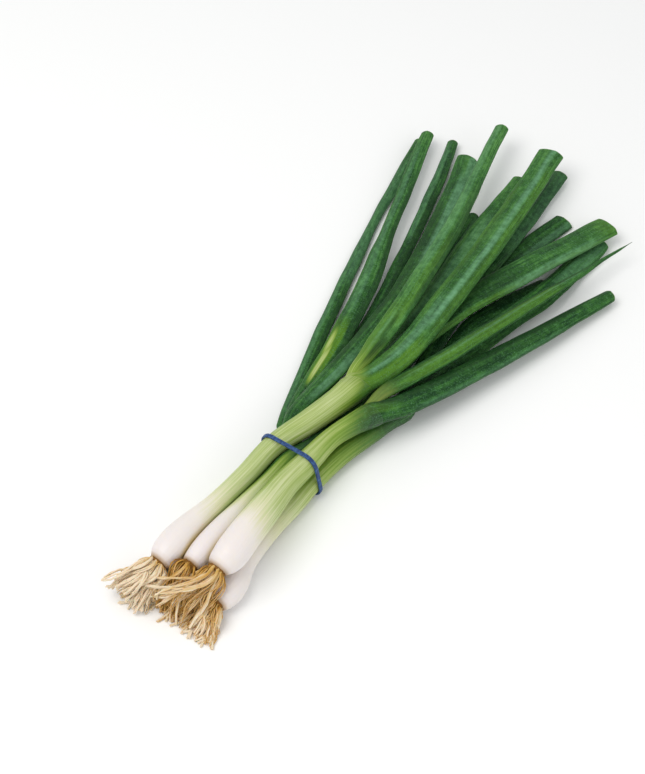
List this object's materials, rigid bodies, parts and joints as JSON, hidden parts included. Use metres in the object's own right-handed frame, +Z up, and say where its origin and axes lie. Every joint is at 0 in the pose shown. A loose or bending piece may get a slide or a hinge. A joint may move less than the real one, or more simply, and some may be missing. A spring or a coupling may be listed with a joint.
{
  "type": "spring onion bunch",
  "caption": "Spring onions tied with one rubber band and lying on their side, with white bulbs, trimmed green leaves and dry roots.",
  "frame": {"origin": "middle of the bunch's footprint on the surface it lies on", "axes": "+X from the roots to the leaf tips, +Z up from the surface"},
  "size_m": [0.3934, 0.1696, 0.0358],
  "materials": {
    "stalk": "satin, white at the bulb shading to pale green, fine lengthwise lines",
    "leaf": "satin green with a faint waxy bloom and fine lengthwise veins",
    "root": "dry, dull, straw to golden brown",
    "band": "dull blue rubber"
  },
  "bodies": {
    "root": {"rubber_band": "band", "stalk_a": "stalk", "stalk_b": "stalk", "stalk_c": "stalk", "stalk_d": "stalk", "stalk_e": "stalk", "stalk_f": "stalk", "roots_a": "root", "roots_b": "root", "roots_c": "root", "roots_d": "root", "roots_e": "root", "roots_f": "root", "leaf_a1": "leaf", "leaf_a2": "leaf", "leaf_a3": "leaf", "leaf_b1": "leaf", "leaf_b2": "leaf", "leaf_b3": "leaf", "leaf_c1": "leaf", "leaf_c2": "leaf", "leaf_d1": "leaf", "leaf_d2": "leaf", "leaf_d3": "leaf", "leaf_e1": "leaf", "leaf_e2": "leaf", "leaf_f1": "leaf", "leaf_f2": "leaf"}
  },
  "joints": []
}
